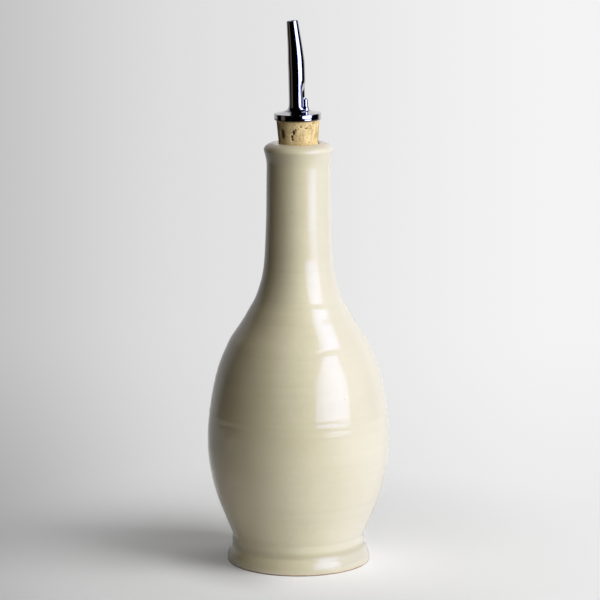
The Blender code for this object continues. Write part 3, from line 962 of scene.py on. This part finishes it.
def spout_points(heights, insets):
    """Rings of the spout, square to its middle line and inset from its outer wall.

    Radius is the tube's, plus a flare that dies away exponentially above the
    foot, less the taper, less a bell-shaped dent, steeper to the front, in the
    side that faces the air tube. The middle line moves to the pour side along an
    even bend.
    """
    angles = np.linspace(0.0, 2.0 * math.pi, SPOUT_SIDES, endpoint=False) - POUR_ANGLE
    up = heights[:, None]
    flare = FOOT_FLARE * np.exp(-(up - SPOUT_FOOT_TOP) / FLARE_DECAY)
    taper = np.clip(up - TAPER_START, 0.0, None) / (SPOUT_HEIGHT - TAPER_START)
    away = np.angle(np.exp(1j * (angles - math.pi)))
    pressed = soft_step(up, DENT_SHELF - SHELF_SOFT, DENT_SHELF + SHELF_SOFT)
    pressed = pressed * (1.0 - soft_step(up, DENT_FULL, DENT_END))
    width = np.where(away < 0.0, DENT_WIDTH_FRONT, DENT_WIDTH_BACK)
    dent = DENT_DEPTH * pressed * np.exp(-((away / width) ** 2))
    radius = SPOUT_RADIUS + flare - (SPOUT_RADIUS - SPOUT_TIP_RADIUS) * taper - dent - insets[:, None]
    run = np.clip(up - BEND_START, 0.0, BEND_END - BEND_START)
    slope = BEND_SLOPE * run / (BEND_END - BEND_START)
    drift = slope * run / 2.0 + BEND_SLOPE * np.clip(up - BEND_END, 0.0, None)
    tilt = np.arctan(slope)
    along = radius * np.cos(angles)
    aside = radius * np.sin(angles)
    forward = drift + along * np.cos(tilt)
    x = forward * math.cos(POUR_ANGLE) - aside * math.sin(POUR_ANGLE)
    y = forward * math.sin(POUR_ANGLE) + aside * math.cos(POUR_ANGLE)
    z = CAP_RIM_TOP + up - along * np.sin(tilt)
    return np.stack([x, y, z], axis=-1)


def make_spout():
    """The outer wall from the foot to the tip, a rounded tip edge, and the bore back down."""
    outer = np.linspace(SPOUT_FOOT_TOP, SPOUT_HEIGHT - TIP_EDGE, SPOUT_RINGS)
    turn = np.linspace(0.0, math.pi, TIP_RINGS)
    half = SPOUT_WALL / 2.0
    tip_up = SPOUT_HEIGHT - TIP_EDGE + TIP_EDGE * np.sin(turn)
    tip_in = half - half * np.cos(turn)
    bore = np.linspace(SPOUT_HEIGHT - TIP_EDGE, BORE_FLOOR, BORE_RINGS)
    heights = np.concatenate([outer, tip_up[1:-1], bore])
    insets = np.concatenate([np.zeros(SPOUT_RINGS), tip_in[1:-1], np.full(BORE_RINGS, SPOUT_WALL)])
    points = spout_points(heights, insets)
    foot = points[:1].copy()
    foot[..., 2] = CAP_RIM_TOP + SPOUT_FOOT_BOTTOM
    points = np.concatenate([foot, points])
    ends = np.array([[0.0, 0.0, CAP_RIM_TOP + SPOUT_FOOT_BOTTOM], [0.0, 0.0, CAP_RIM_TOP + BORE_FLOOR]])
    item = surface_mesh("pouring_spout", leaning(points), leaning(ends[:1]), leaning(ends[1:]))
    item.data.set_sharp_from_angle(angle=SPOUT_CREASE)
    return item


spout = make_spout()
spout.data.materials.append(chrome)
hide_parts("spout")
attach(spout, "root")


# Air tube. A thin pipe that stands in a small ferrule beside the spout and lets
# air in while the oil runs; its top is cut on the slant.
VENT_OFFSET = 0.0051
VENT_RADIUS = 0.0016
VENT_BORE = 0.0011
VENT_TOP = 0.0090
VENT_CUT_SLOPE = math.radians(24.0)
VENT_CUT_DROP = 0.0005
FERRULE_RADIUS = 0.0021
FERRULE_BOTTOM = 0.0015
FERRULE_TOP = 0.0034
FERRULE_CHAMFER = (0.0001, 0.0002)
SOLDER_WIDTH = 0.0001
SOLDER_TOP = 0.0004
PIPE_START = 0.0005
VENT_HUB = 0.0005
VENT_SIDES = 64
VENT_RINGS = 24
VENT_CREASE = math.radians(50.0)


def make_vent():
    """A turned pipe whose rings tip over, towards the top, into the plane of the slant."""
    pipe = np.linspace(0.0, 1.0, VENT_RINGS)
    foot = [FERRULE_RADIUS, FERRULE_RADIUS, FERRULE_RADIUS - FERRULE_CHAMFER[0], VENT_RADIUS + SOLDER_WIDTH]
    foot_up = [FERRULE_BOTTOM, FERRULE_TOP - FERRULE_CHAMFER[1], FERRULE_TOP, FERRULE_TOP + SOLDER_TOP]
    middle = VENT_TOP - VENT_CUT_DROP
    outer_up = FERRULE_TOP + PIPE_START + (middle - FERRULE_TOP - PIPE_START) * pipe
    inner_up = middle + (FERRULE_TOP - middle) * pipe
    outer, inner = np.full(VENT_RINGS, VENT_RADIUS), np.full(VENT_RINGS, VENT_BORE)
    radii = np.concatenate([foot, outer, inner, [VENT_HUB]])
    heights = np.concatenate([foot_up, outer_up, inner_up, [FERRULE_TOP]])
    tipped = np.concatenate([np.zeros(len(foot)), pipe, 1.0 - pipe, [0.0]])
    points = turned_points(radii, heights + CAP_RIM_TOP, VENT_SIDES)
    away = (math.cos(POUR_ANGLE + math.pi), math.sin(POUR_ANGLE + math.pi))
    outward = points[..., 0] * away[0] + points[..., 1] * away[1]
    points[..., 2] -= tipped[:, None] * outward * math.tan(VENT_CUT_SLOPE)
    place = np.array([VENT_OFFSET * away[0], VENT_OFFSET * away[1], 0.0])
    ends = np.array([[0.0, 0.0, CAP_RIM_TOP + FERRULE_BOTTOM], [0.0, 0.0, CAP_RIM_TOP + FERRULE_TOP]])
    ends = ends + place
    item = surface_mesh("air_tube", leaning(points + place), leaning(ends[:1]), leaning(ends[1:]))
    item.data.set_sharp_from_angle(angle=VENT_CREASE)
    return item


vent = make_vent()
vent.data.materials.append(chrome)
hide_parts("vent_tube")
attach(vent, "root")
